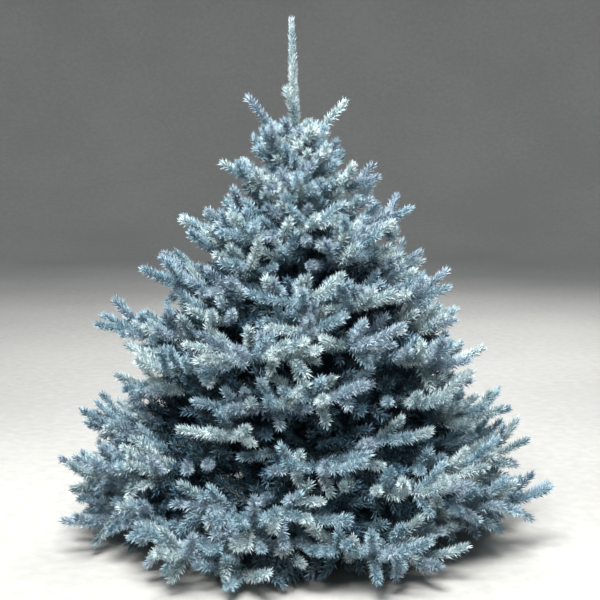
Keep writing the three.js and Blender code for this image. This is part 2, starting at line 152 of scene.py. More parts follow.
def make_object(name, points, faces, material, smooth=True):
    """A mesh object from an array of points and one of faces with the same number of corners."""
    mesh = bpy.data.meshes.new(name)
    count, corners = faces.shape
    mesh.vertices.add(len(points))
    mesh.vertices.foreach_set("co", np.ascontiguousarray(points, dtype=np.float32).ravel())
    mesh.loops.add(count * corners)
    mesh.loops.foreach_set("vertex_index", np.ascontiguousarray(faces, dtype=np.int32).ravel())
    mesh.polygons.add(count)
    mesh.polygons.foreach_set("loop_start", np.arange(0, count * corners, corners, dtype=np.int32))
    mesh.polygons.foreach_set("use_smooth", np.full(count, smooth))
    mesh.update(calc_edges=True)
    mesh.materials.append(material)
    piece = bpy.data.objects.new(name, mesh)
    scene.collection.objects.link(piece)
    return piece


def make_piece(name, points, faces, material, replaced=(), smooth=True):
    """An object that rides with the plant and stands for the replaced CAD nodes."""
    piece = make_object(name, points, faces, material, smooth)
    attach(piece, "root")
    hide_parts(*replaced)
    return piece


def grid_faces(rows, columns):
    """Quads between the rows of a tube whose rows are closed rings."""
    row, column = np.meshgrid(np.arange(rows - 1), np.arange(columns), indexing="ij")
    following = (column + 1) % columns
    low, high = row * columns, (row + 1) * columns
    return np.stack(
        [low + column, low + following, high + following, high + column], axis=-1
    ).reshape(-1, 4)


def lathe_points(profile, sides):
    """The rings of a turned form, one ring for each (radius, height) of its profile."""
    angles = np.arange(sides) * 2 * math.pi / sides
    radius, height = np.array(profile).T
    return np.stack(
        [
            radius[:, None] * np.cos(angles),
            radius[:, None] * np.sin(angles),
            np.repeat(height[:, None], sides, axis=1),
        ],
        axis=-1,
    )


def rounded(profile, radius, steps=3):
    """The same profile with each inner corner turned into a small curve."""
    curve = [profile[0]]
    for before, corner, after in zip(profile, profile[1:], profile[2:]):
        before, corner, after = (np.array(p, dtype=float) for p in (before, corner, after))
        first, last = (
            corner + (end - corner) * min(MOST_ROUNDED, radius / np.linalg.norm(end - corner))
            for end in (before, after)
        )
        for share in np.linspace(0, 1, steps + 1):
            low, high = first + (corner - first) * share, corner + (last - corner) * share
            curve.append(tuple(low + (high - low) * share))
    return curve + [profile[-1]]


pot_neck = POT_HEIGHT - LIP_DEPTH


def inner_wall_radius(height):
    """The radius of the wall's inner face at that height."""
    slope = (POT_NECK_RADIUS - POT_FOOT_RADIUS) / pot_neck
    return POT_FOOT_RADIUS - POT_WALL + slope * height


pot_profile = rounded(
    [
        (CENTRE_RADIUS, 0.0),
        (POT_FOOT_RADIUS, 0.0),
        (POT_NECK_RADIUS, pot_neck),
        (POT_RIM_RADIUS, pot_neck + POT_ROUNDING),
        (POT_RIM_RADIUS, POT_HEIGHT),
        (POT_RIM_RADIUS - LIP_WIDTH, POT_HEIGHT),
        (inner_wall_radius(pot_neck), pot_neck + POT_ROUNDING),
        (inner_wall_radius(POT_FLOOR), POT_FLOOR),
        (CENTRE_RADIUS, POT_FLOOR),
    ],
    POT_ROUNDING,
)
pot_points = lathe_points(pot_profile, POT_SIDES)
# Moulded polypropylene: matte, close to black, with a fine even grain and some dried dust.
moulded_plastic = two_tone_material(
    "charcoal_polypropylene_moulded",
    ("#2B2D2F", "#3D3F41"),
    grain=POT_GRIT,
    patches=POT_DUST,
    roughness=(0.45, 0.62),
    relief=0.00012,
    IOR=1.49,
)
pot = make_piece(
    "pot_shell",
    pot_points.reshape(-1, 3),
    grid_faces(len(pot_profile), POT_SIDES),
    moulded_plastic,
    replaced=["pot"],
)
for hole in range(DRAIN_HOLES):
    angle = 2 * math.pi * (hole + 0.5) / DRAIN_HOLES
    bpy.ops.mesh.primitive_cylinder_add(
        vertices=32,
        radius=DRAIN_RADIUS,
        depth=4 * POT_FLOOR,
        location=(DRAIN_CIRCLE * math.cos(angle), DRAIN_CIRCLE * math.sin(angle), 0),
    )
    drill = bpy.context.object
    cut = pot.modifiers.new("drain_hole", "BOOLEAN")
    cut.operation = "DIFFERENCE"
    cut.object = drill
    bpy.context.view_layer.objects.active = pot
    bpy.ops.object.modifier_apply(modifier=cut.name)
    bpy.data.objects.remove(drill)
pot.data.set_sharp_from_angle(angle=POT_SHARP_ANGLE)

# Compost
# Composted bark and peat, filled to below the rim and slightly heaped round the trunk: a lumpy
# surface with loose chips of bark on it.

COMPOST_LEVEL = 0.27
COMPOST_EDGE_DROP = 0.01
COMPOST_EDGE_CURVE = 1.5
COMPOST_FLAT_RADIUS = 0.066
COMPOST_LUMP = 0.013
COMPOST_LUMP_HEIGHT = 0.004
LUMP_SIZES = (COMPOST_LUMP, COMPOST_LUMP / 2.3, COMPOST_LUMP / 5)
LATTICE_SHIFT = 50  # squares by which the lumps' noise is moved off the centre
LATTICE_WRAP = 1000  # squares after which it repeats
COMPOST_SIDES = 108
COMPOST_RINGS = 44
CHIPS = 420
CHIP_LENGTHS = (0.008, 0.022)
CHIP_WIDTH = 0.5
CHIP_THICKNESS = 0.18
CHIP_WEAR = (0.6, 1.0)  # how far a chip's corners are worn down
CHIP_TILT = 0.3
CHIP_STAND = 0.25  # how far a chip's middle stands above the compost, by its thickness
CHIP_EDGE_GAP = 0.02
WALL_CLEARANCE = 0.0006

rng = np.random.default_rng(11)


def lattice_noise(x, y, wrap, seed):
    """Smooth noise from -1 to 1 on a unit lattice that repeats after wrap squares of x."""
    cell_x, cell_y = np.floor(x), np.floor(y)
    share_x, share_y = x - cell_x, y - cell_y
    share_x, share_y = share_x**2 * (3 - 2 * share_x), share_y**2 * (3 - 2 * share_y)

    def corner(step_x, step_y):
        column = np.mod(cell_x + step_x, wrap)
        wave = np.sin(column * 12.9898 + (cell_y + step_y) * 78.233 + seed * 37.719) * 43758.5453
        return 2 * (wave - np.floor(wave)) - 1

    low = corner(0, 0) * (1 - share_x) + corner(1, 0) * share_x
    high = corner(0, 1) * (1 - share_x) + corner(1, 1) * share_x
    return low * (1 - share_y) + high * share_y


def compost_height(x, y):
    """The height of the compost's surface, with its lumps."""
    edge_radius = inner_wall_radius(COMPOST_LEVEL)
    slope = (np.hypot(x, y) - COMPOST_FLAT_RADIUS) / (edge_radius - COMPOST_FLAT_RADIUS)
    level = COMPOST_LEVEL - COMPOST_EDGE_DROP * np.clip(slope, 0, 1) ** COMPOST_EDGE_CURVE
    lumps = sum(
        lattice_noise(x / size + LATTICE_SHIFT, y / size + LATTICE_SHIFT, LATTICE_WRAP, seed)
        * size
        / COMPOST_LUMP
        for seed, size in enumerate(LUMP_SIZES)
    )
    return level + COMPOST_LUMP_HEIGHT * (0.5 * lumps - 0.5)


compost_foot = POT_FLOOR + WALL_CLEARANCE
compost_edge = COMPOST_LEVEL - COMPOST_EDGE_DROP
edge_radius = inner_wall_radius(compost_edge) - WALL_CLEARANCE
top_radii = np.linspace(edge_radius, CENTRE_RADIUS, COMPOST_RINGS)
compost_profile = [
    (CENTRE_RADIUS, compost_foot),
    (inner_wall_radius(compost_foot) - WALL_CLEARANCE, compost_foot),
    *((radius, 1.0) for radius in top_radii),
]
compost_points = lathe_points(compost_profile, COMPOST_SIDES).reshape(-1, 3)
is_top = compost_points[:, 2] == 1.0
compost_points[is_top, 2] = compost_height(compost_points[is_top, 0], compost_points[is_top, 1])
# Composted bark: dark brown and dull, in crumbs of a few millimetres.
potting_mix = two_tone_material(
    "composted_bark_and_peat",
    ("#1D1611", "#4A3628"),
    grain=0.004,
    patches=0.03,
    roughness=(0.85, 0.98),
    relief=0.0015,
)
make_piece(
    "compost_surface",
    compost_points,
    grid_faces(len(compost_profile), COMPOST_SIDES),
    potting_mix,
    replaced=["compost"],
)

BOX_CORNERS = np.array([(x, y, z) for x in (-1, 1) for y in (-1, 1) for z in (-1, 1)]) / 2
BOX_FACES = np.array(
    [(0, 1, 3, 2), (4, 6, 7, 5), (0, 4, 5, 1), (2, 3, 7, 6), (0, 2, 6, 4), (1, 5, 7, 3)]
)


def turned(points, heading, tilt):
    """Points turned about Z by heading, after a tilt about X."""
    x, y, z = points.T
    y, z = y * math.cos(tilt) - z * math.sin(tilt), y * math.sin(tilt) + z * math.cos(tilt)
    return np.stack(
        [
            x * math.cos(heading) - y * math.sin(heading),
            x * math.sin(heading) + y * math.cos(heading),
            z,
        ],
        axis=-1,
    )


def repeated_faces(faces, step, count):
    """Faces of that many like forms in one mesh, each with step points of its own."""
    return (faces[None] + step * np.arange(count)[:, None, None]).reshape(-1, faces.shape[1])


chip_points = []
chip_span = (COMPOST_FLAT_RADIUS, inner_wall_radius(compost_edge) - CHIP_EDGE_GAP)
for _ in range(CHIPS):
    length = rng.uniform(*CHIP_LENGTHS)
    size = np.array([length, CHIP_WIDTH * length, CHIP_THICKNESS * length])
    corners = BOX_CORNERS * size * rng.uniform(*CHIP_WEAR, (len(BOX_CORNERS), 1))
    corners = turned(corners, rng.uniform(0, 2 * math.pi), rng.normal(0, CHIP_TILT))
    radius, angle = rng.uniform(*chip_span), rng.uniform(0, 2 * math.pi)
    x, y = radius * math.cos(angle), radius * math.sin(angle)
    chip_points.append(corners + [x, y, compost_height(x, y) + size[2] * CHIP_STAND])
# Bark chips: redder and drier than the mix that they lie on.
make_piece(
    "bark_chips",
    np.concatenate(chip_points),
    repeated_faces(BOX_FACES, len(BOX_CORNERS), CHIPS),
    two_tone_material(
        "pine_bark_chipped",
        ("#3A271C", "#6E4B35"),
        grain=0.0016,
        patches=0.02,
        roughness=(0.8, 0.95),
        relief=0.0004,
    ),
    smooth=False,
)

# Trunk
# One straight stem from its root flare in the compost to the leader's tip. Young bark: thin
# grey-brown scales, a finger wide at the foot and finer upwards, with darker cracks between them.

TREE_TOP = 1.8
GAP = 0.0003
TRUNK_FOOT_RADIUS = 0.03
TRUNK_TIP_RADIUS = 0.003
ROOT_FLARE = 0.02
FLARE_DEPTH = 0.02
FLARE_LOBES = 5
FLARE_LOBE_DEPTH = 0.14
FLARE_LOBE_RUN = 0.03
FLARE_TOP = 0.34
FLARE_RINGS = 24
TRUNK_LOWEST = 0.262  # it is sunk a little into the compost's lumps
TRUNK_TAPER = 1.15
LEAN = -0.03
LEAN_BEND = 1.6
TRUNK_SIDES = 40
TRUNK_RINGS = 160
BARK_SCALES = 11  # scales round the trunk
BARK_SCALE_HEIGHT = 0.017
BARK_CRACK_DEPTH = 0.0016
BARK_LEAST_SCALE = 0.15  # the relief at the tip, against that at the foot
SCALE_WAVER = 0.35  # how far the cracks stray from a straight lattice
CRACK_WIDTH = 0.16
SCALE_ROUGHNESS = 0.3
TRUNK_BARK_SEED = 21
trunk_foot = COMPOST_LEVEL + GAP


def chance(a, b, c):
    """A number from 0 to 1 that depends only on the three whole numbers given."""
    wave = math.sin(a * 12.9898 + b * 78.233 + c * 37.719) * 43758.5453
    return wave - math.floor(wave)


def swing(a, b, c):
    """The same from -1 to 1."""
    return 2 * chance(a, b, c) - 1


def lerp(a, b, share):
    return a + (b - a) * share


def trunk_radius(height):
    left = np.clip((TREE_TOP - height) / (TREE_TOP - trunk_foot), 0, 1)
    flare = ROOT_FLARE * np.exp(-np.maximum(0, height - trunk_foot) / FLARE_DEPTH)
    return lerp(TRUNK_TIP_RADIUS, TRUNK_FOOT_RADIUS, left**TRUNK_TAPER) + flare


def trunk_shift(height):
    """How far the trunk's axis stands from the foot along X."""
    return LEAN * np.clip((height - trunk_foot) / (TREE_TOP - trunk_foot), 0, 1) ** LEAN_BEND


def bark_relief(around, along, scales, seed):
    """From -1 in a crack to 0 on a scale; around runs from 0 to 1 and along in scale heights."""
    bent = lattice_noise(around * scales * 2, along * 2, scales * 2, seed + 3)
    bent = SCALE_WAVER * bent
    cells = lattice_noise(around * scales + bent, along + bent, scales, seed)
    cracks = np.exp(-((cells / CRACK_WIDTH) ** 2))
    rough = lattice_noise(around * scales * 4, along * 4, scales * 4, seed + 5)
    return -cracks + SCALE_ROUGHNESS * rough


trunk_heights = np.concatenate(
    [
        np.linspace(TRUNK_LOWEST, FLARE_TOP, FLARE_RINGS, endpoint=False),
        np.linspace(FLARE_TOP, TREE_TOP, TRUNK_RINGS),
    ]
)
angles = np.arange(TRUNK_SIDES) * 2 * math.pi / TRUNK_SIDES
height_grid, angle_grid = np.meshgrid(trunk_heights, angles, indexing="ij")
round_radius = trunk_radius(height_grid)
scale_size = np.clip(round_radius / TRUNK_FOOT_RADIUS, BARK_LEAST_SCALE, 1)
lobe_depth = FLARE_LOBE_DEPTH * np.exp(-np.maximum(0, height_grid - trunk_foot) / FLARE_LOBE_RUN)
lobes = lobe_depth * np.cos(FLARE_LOBES * angle_grid)
relief = bark_relief(
    angle_grid / (2 * math.pi), height_grid / BARK_SCALE_HEIGHT, BARK_SCALES, TRUNK_BARK_SEED
)
bark_radius = round_radius * (1 + lobes) + BARK_CRACK_DEPTH * scale_size * relief
trunk_points = np.stack(
    [
        trunk_shift(height_grid) + bark_radius * np.cos(angle_grid),
        bark_radius * np.sin(angle_grid),
        height_grid,
    ],
    axis=-1,
)
# Spruce bark: dull, from grey on the face of the scales to a warm brown between them.
spruce_bark = two_tone_material(
    "spruce_bark_scaly",
    ("#3B332D", "#72685D"),
    grain=0.003,
    patches=0.025,
    roughness=(0.8, 0.95),
    relief=0.0006,
)
make_piece(
    "trunk_bark",
    trunk_points.reshape(-1, 3),
    grid_faces(len(trunk_heights), TRUNK_SIDES),
    spruce_bark,
    replaced=["trunk"],
)

# Limbs
# The wood of the boughs, one limb each, under thin scaly bark. There are seven tiers, lesser
# whorls between them and inside the crown, and three more round its foot. The lower boughs
# begin bare and arch out over the pot's rim before they hang.

STAGGER = 0.034
BY_TURNS = (-STAGGER, STAGGER)
# A whorl has its count of boughs and their reach, the four heights of the curve that they
# follow from trunk to tip, and its turn in degrees. lifts raises the tips, bough by bough, and
# stretch lengthens single boughs. bare is the share of the reach without shoots, pairs counts
# the side sprays, and tops the shoots that stand on the limb.
TIERS = [
    dict(
        boughs=7, reach=0.880, heights=(0.378, 0.415, 0.000, 0.235),
        lifts=(0.000, 0.060, -0.060, 0.060, 0.060, -0.060, -0.060),
        stretch={0: 1.05, 4: 0.93}, bare=0.34, turn=-16, pairs=4, tops=1,
    ),
    dict(
        boughs=6, reach=0.775, heights=(0.520, 0.556, 0.330, 0.458),
        lifts=(-0.034, 0.034, -0.034, -0.080, 0.034, 0.000),
        stretch={4: 0.84, 5: 0.82}, bare=0.32, turn=0, pairs=4, tops=1,
    ),
    dict(
        boughs=5, reach=0.710, heights=(0.668, 0.710, 0.620, 0.740),
        lifts=(-0.034, -0.034, 0.034, 0.034, -0.056),
        stretch={4: 0.97}, bare=0.30, turn=36, pairs=4, tops=2,
    ),
    dict(
        boughs=6, reach=0.550, heights=(0.834, 0.876, 0.810, 0.930),
        lifts=(-0.034, 0.034, -0.034, 0.000, 0.034, 0.000),
        stretch={4: 1.10}, bare=0.0, turn=-28, pairs=3, tops=2,
    ),
    dict(
        boughs=5, reach=0.418, heights=(1.004, 1.046, 1.020, 1.110),
        lifts=(0.034, -0.034, -0.016, 0.034, -0.034),
        stretch={2: 1.03}, bare=0.0, turn=20, pairs=3, tops=1,
    ),
    dict(
        boughs=5, reach=0.276, heights=(1.176, 1.214, 1.226, 1.292),
        lifts=(-0.034, 0.034, -0.034, 0.000, -0.020),
        stretch={}, bare=0.0, turn=-16, pairs=2, tops=1,
    ),
    dict(
        boughs=4, reach=0.176, heights=(1.344, 1.390, 1.446, 1.520),
        lifts=(-0.016, -0.090, -0.010, -0.090),
        stretch={2: 0.95}, bare=0.0, turn=22, pairs=0, tops=0,
    ),
]
# Round the foot: boughs that sweep down to the floor, others that lie over the gaps between
# them, and short ones behind both.
SKIRT = dict(
    boughs=7, reach=0.800, heights=(0.390, 0.470, -0.040, 0.085),
    lifts=(0.034, -0.034, 0.034, -0.034, 0.050, -0.034, 0.000),
    stretch={4: 1.06}, bare=0.34, turn=-2, pairs=4, tops=1,
)
APRON = dict(
    boughs=7, reach=0.760, heights=(0.385, 0.460, 0.080, 0.240),
    lifts=(-0.034, 0.034, -0.034, -0.100, -0.034, 0.034, -0.034),
    stretch={3: 1.1}, bare=0.34, turn=13, pairs=4, tops=2,
)
LINING = dict(
    boughs=14, reach=0.520, heights=(0.400, 0.480, 0.200, 0.070),
    lifts=(0.000,), stretch={}, bare=0.50, turn=17, pairs=2, tops=0,
)
# Boughs that stand alone: three in front, one at the left and one behind it.
SINGLES = [
    dict(
        boughs=1, reach=0.610, heights=(0.700, 0.745, 0.690, 0.785),
        lifts=(0.000,), stretch={}, bare=0.20, turn=291, pairs=3, tops=2,
    ),
    dict(
        boughs=1, reach=0.830, heights=(0.385, 0.460, 0.050, 0.160),
        lifts=(0.000,), stretch={}, bare=0.34, turn=183, pairs=4, tops=1,
    ),
    dict(
        boughs=1, reach=0.640, heights=(0.560, 0.600, 0.470, 0.560),
        lifts=(0.000,), stretch={}, bare=0.28, turn=247, pairs=3, tops=2,
    ),
    dict(
        boughs=1, reach=0.360, heights=(1.060, 1.100, 1.080, 1.140),
        lifts=(0.000,), stretch={}, bare=0.0, turn=279, pairs=2, tops=1,
    ),
    dict(
        boughs=1, reach=0.700, heights=(0.385, 0.460, 0.000, 0.050),
        lifts=(0.000,), stretch={}, bare=0.34, turn=117, pairs=4, tops=0,
    ),
]
LESSER_SHARES = ((0.33, 0.67), (0.33, 0.67), (0.33, 0.67), (0.5,), (0.5,), (0.36,))
LESSER_REACHES = (0.94, 0.68)  # of the tiers beside them, on the lowest and the topmost whorl
LESSER_BARE = 0.34
# Where single boughs of a lesser whorl are longer, shorter, higher or lower than the rule's.
LESSER_CHANGES = {
    0: dict(lifts=(STAGGER, -STAGGER), stretch={0: 1.04}),
    1: dict(stretch={0: 0.88}),
    2: dict(lifts=(-STAGGER, STAGGER, -STAGGER, STAGGER, 0.05, STAGGER)),
    3: dict(stretch={5: 0.85}),
    -1: dict(tops=0),
}
INNER_SHARES = ((0.4, 0.75), (0.4, 0.75), (0.4, 0.75), (0.75,))
INNER_REACH = 0.66  # short boughs between the lower tiers, which fill the crown's inside
TURN_SPREAD = math.radians(4)
REACH_SPREAD = 0.04
LIFT_SPREAD = 0.012
FAN_END = 1.05  # a fan is level beyond this share of its reach
TIP_RUN = 0.985  # share of the reach at which a bough's last shoot ends
NEWEST_LENGTH = 0.14  # a limb ends where the newest shoot at its tip has its own twig
LIMB_START = 0.01
LIMB_LEAST_END = 0.12
LIMB_FOOT_RADIUS = 0.0118
LIMB_TIP_SHARE = 0.55
TAPER_RUN = 0.3
TWIG_RADIUS = 0.0024
LIMB_SIDES = 6
LIMB_RINGS = 18
LIMB_SCALES = 5
LIMB_SCALE_LENGTH = 0.009
LIMB_CRACK_DEPTH = 0.0006
LIMB_FULL_CRACKS = 0.008  # radius from which the cracks have their full depth
LIMB_LEAST_CRACKS = 0.2
LIMB_BARK_SEED = 40


def curve_height(heights, q):
    """The height on a Bezier curve of four heights, where q runs from 0 to 1."""
    p = 1 - q
    return (
        p**3 * heights[0]
        + 3 * p * p * q * heights[1]
        + 3 * p * q * q * heights[2]
        + q**3 * heights[3]
    )


def make_bough(tier_index, index):
    """One bough of a whorl: its directions, and how it differs from its neighbours."""
    tier = WHORLS[tier_index]
    sector = 2 * math.pi / tier["boughs"]
    sector_angle = math.radians(tier["turn"]) + index * sector
    angle = sector_angle + TURN_SPREAD * swing(tier_index, index, 1)
    return dict(
        tier,
        tier_index=tier_index,
        index=index,
        half_sector=sector / 2,
        reach=tier["reach"]
        * tier["stretch"].get(index, 1)
        * (1 + REACH_SPREAD * swing(tier_index, index, 2)),
        lift=tier["lifts"][index % len(tier["lifts"])]
        + LIFT_SPREAD * swing(tier_index, index, 3),
        outward=np.array([math.cos(angle), math.sin(angle), 0]),
        sideways=np.array([-math.sin(angle), math.cos(angle), 0]),
        axis=np.array([trunk_shift(tier["heights"][0]), 0, 0]),
    )


def fan_points(bough, out, aside, rise):
    """Points of a bough's umbrella-shaped fan that lie out and aside by these lengths."""
    out, aside, rise = np.broadcast_arrays(out, aside, rise)
    run = np.hypot(out, aside) / bough["reach"]
    height = curve_height(bough["heights"], np.minimum(run, FAN_END))
    height = height + bough["lift"] * np.minimum(run, 1) + rise
    flat = bough["axis"] + out[:, None] * bough["outward"] + aside[:, None] * bough["sideways"]
    return flat + height[:, None] * [0, 0, 1]


def label_of(tier_index):
    labels = [f"tier{i + 1}" for i in range(len(TIERS))]
    for i, shares in enumerate(LESSER_SHARES):
        labels += [f"above_tier{i + 1}", f"below_tier{i + 2}"][: len(shares)]
    labels += ["skirt", "apron", "lining", *(f"single{i + 1}" for i in range(len(SINGLES)))]
    for i, shares in enumerate(INNER_SHARES):
        labels += [f"inside_tier{i + 1}", f"inside_below_tier{i + 2}"][: len(shares)]
    return labels[tier_index]


def nodes_of(kind, tier_index):
    """The CAD nodes of that kind in one tier; the lesser boughs have none of their own."""
    if tier_index >= len(TIERS):
        return []
    return [f"{kind}_tier{tier_index + 1}_{i + 1}" for i in range(TIERS[tier_index]["boughs"])]


def limb_radius(bough, run):
    """The limb tapers over its bare part, and from there more slowly to a twig at its tip."""
    foot = LIMB_FOOT_RADIUS * bough["reach"]
    bare = max(bough["bare"], TAPER_RUN)
    near = foot * lerp(1, LIMB_TIP_SHARE, np.minimum(1, run / bare))
    far = lerp(foot * LIMB_TIP_SHARE, TWIG_RADIUS, np.clip((run - bare) / (1 - bare), 0, 1))
    return np.maximum(TWIG_RADIUS, np.where(run < bare, near, far))


def unit(vectors):
    return vectors / np.linalg.norm(vectors, axis=-1, keepdims=True)


def cross_axes(headings):
    """For each direction, one level direction square to it and one that points up beside it."""
    level = np.cross([0, 0, 1], headings)
    level[np.linalg.norm(level, axis=-1) < 1e-3] = [1, 0, 0]
    level = unit(level)
    return level, np.cross(headings, level)


def tube_points(path, radii):
    """Rings of points round a path, with one radius for each point of each ring."""
    level, upright = cross_axes(unit(np.gradient(path, axis=0)))
    angles = np.arange(radii.shape[1]) * 2 * math.pi / radii.shape[1]
    return (
        path[:, None]
        + radii[..., None] * np.cos(angles)[:, None] * level[:, None]
        + radii[..., None] * np.sin(angles)[:, None] * upright[:, None]
    )


def between(lower, upper, share, reach):
    """A whorl of lesser boughs, that share of the way up from one tier to the next."""
    return dict(
        boughs=lower["boughs"],
        reach=reach * lerp(lower["reach"], upper["reach"], share),
        heights=tuple(lerp(*pair, share) for pair in zip(lower["heights"], upper["heights"])),
        lifts=BY_TURNS,
        stretch={},
        bare=LESSER_BARE,
        turn=lower["turn"] + 360 * share / lower["boughs"],
        pairs=max(1, lower["pairs"] - 1),
        tops=1,
    )


pairs_of_tiers = list(zip(TIERS, TIERS[1:]))
lesser_reaches = np.linspace(*LESSER_REACHES, len(pairs_of_tiers))
LESSER = [
    between(*pair, share, reach)
    for pair, reach, shares in zip(pairs_of_tiers, lesser_reaches, LESSER_SHARES)
    for share in shares
]
for place, changes in LESSER_CHANGES.items():
    LESSER[place].update(changes)
INNER = [
    between(*pair, share, INNER_REACH)
    for pair, shares in zip(pairs_of_tiers, INNER_SHARES)
    for share in shares
]
WHORLS = [*TIERS, *LESSER, SKIRT, APRON, LINING, *SINGLES, *INNER]
boughs = [
    make_bough(tier_index, index)
    for tier_index, tier in enumerate(WHORLS)
    for index in range(tier["boughs"])
]

for tier_index, tier in enumerate(WHORLS):
    limb_points = []
    for bough in boughs:
        if bough["tier_index"] != tier_index:
            continue
        limb_end = max(LIMB_LEAST_END, TIP_RUN - NEWEST_LENGTH / bough["reach"])
        runs = np.linspace(LIMB_START, limb_end, LIMB_RINGS)
        path = fan_points(bough, runs * bough["reach"], 0, 0)
        around, along = np.meshgrid(
            np.arange(LIMB_SIDES) / LIMB_SIDES, runs * bough["reach"] / LIMB_SCALE_LENGTH
        )
        radii = limb_radius(bough, runs)[:, None]
        scales = bark_relief(around, along, LIMB_SCALES, LIMB_BARK_SEED + bough["index"])
        crack_share = np.clip(radii / LIMB_FULL_CRACKS, LIMB_LEAST_CRACKS, 1)
        radii = radii + LIMB_CRACK_DEPTH * crack_share * scales
        limb_points.append(tube_points(path, radii).reshape(-1, 3))
    limb_faces = grid_faces(LIMB_RINGS, LIMB_SIDES)
    make_piece(
        f"limbs_{label_of(tier_index)}",
        np.concatenate(limb_points),
        repeated_faces(limb_faces, LIMB_RINGS * LIMB_SIDES, len(limb_points)),
        spruce_bark,
        replaced=nodes_of("bough", tier_index) if tier["bare"] else [],
    )

# Shoots
# Each year a spruce bough adds one length at its tip and a pair of side shoots at each joint
# of the years before, which fork again in the same way. Lesser ones grow between the joints,
# and others stand up or hang from them.

YEAR_GROWTH = 0.14
LATER_GROWTH = 1.2  # above one, a bough's later lengths are longer than its first ones
FIRST_SPRAY = 0.1
LAST_SPRAY = 0.78
PAIR_OFFSET = 0.22
SPRAY_ANGLE = math.radians(47)
SPRAY_ANGLE_SPREAD = math.radians(6)
SPRAY_SHARES = (0.56, 0.78)  # on a bough of no reach, and on one of full reach
FULL_REACH = 0.8
SPRAY_LEAST = 0.165
FULL_SIZE_REACH = 0.6
SPRAY_CLIMB = 0.026
CLIMB_SPREAD = 0.04
LEVELLING = 0.4
TOP_LENGTH = 0.13
TOP_CLIMB = 0.07
TOP_FULL_REACH = 0.42
TOP_TURN = math.radians(28)
TOP_PLACE = 0.35
TOP_PLACE_SPREAD = 0.3
FORK_ANGLE = math.radians(46)
FORK_ANGLE_SPREAD = math.radians(8)
FORK_SHARE = 0.64
FORK_LEAST = 0.095
FORK_LENGTH_SPREAD = 0.16
FORK_CLIMB = 0.012
FORK_CLIMB_SPREAD = 0.06
MOST_ORDERS = 4
LESSER_SHOOTS = 2  # side shoots on one year's length, between its joints
LESSER_FIRST_PLACE = 0.35  # the first one's place on that length, and the step to the next
LESSER_PLACE_STEP = 0.3
LESSER_PLACE_SPREAD = 0.2
LESSER_ANGLE_SPREAD = 0.3
LESSER_LENGTH = 0.1
LESSER_LENGTH_SPREAD = 0.2
LESSER_CLIMB = 0.065
UPRIGHT_LENGTH = 0.1
UPRIGHT_LENGTH_SPREAD = 0.25
UPRIGHT_CLIMB = 0.075
HANGING_CLIMB = -0.07
USUAL_CHANCE = 0.95  # that a joint has such a shoot
HIGH_HANGING_CHANCE = 0.5  # that one hangs from a bough whose tip is above the low ones'
LOW_TIP_HEIGHT = 0.4
UPRIGHT_FULL_REACH = 0.7
UPRIGHT_LEAST_SIZE = 0.5
BRUSH_RADIUS = 0.022
REACH_ALLOWANCE = 1.01
GROUND_CLEARANCE = 0.014
SHORTER_TRIES = (1, 0.8, 0.62)
CLIMB_CURVE = 1.25
PATH_POINTS = 3

shoots = []


def fits(bough, tip):
    """Whether a shoot's tip stays in the reach and sector of its bough, off ground and pot."""
    flat = tip - bough["axis"]
    radius = math.hypot(flat[0], flat[1])
    along, aside = float(flat @ bough["outward"]), float(flat @ bough["sideways"])
    turned_by = abs(math.atan2(aside, along))
    beside = radius * (turned_by - bough["half_sector"])
    in_pot = radius < POT_RIM_RADIUS + BRUSH_RADIUS and tip[2] < POT_HEIGHT + BRUSH_RADIUS
    return (
        radius < bough["reach"] * REACH_ALLOWANCE
        and beside < BRUSH_RADIUS
        and tip[2] > GROUND_CLEARANCE + BRUSH_RADIUS
        and not in_pot
    )


def strand(bough, start, angle, length, climb, shares):
    """Points of an axis, at these shares of its length."""
    shares = np.asarray(shares, dtype=float)
    return fan_points(
        bough,
        start[0] + shares * length * math.cos(angle),
        start[1] + shares * length * math.sin(angle),
        start[2] + climb * shares**CLIMB_CURVE,
    )


def axis_point(start, angle, length, climb, share):
    """The out, aside and rise of one point of an axis, where another starts."""
    return (
        start[0] + share * length * math.cos(angle),
        start[1] + share * length * math.sin(angle),
        start[2] + climb * share**CLIMB_CURVE,
    )


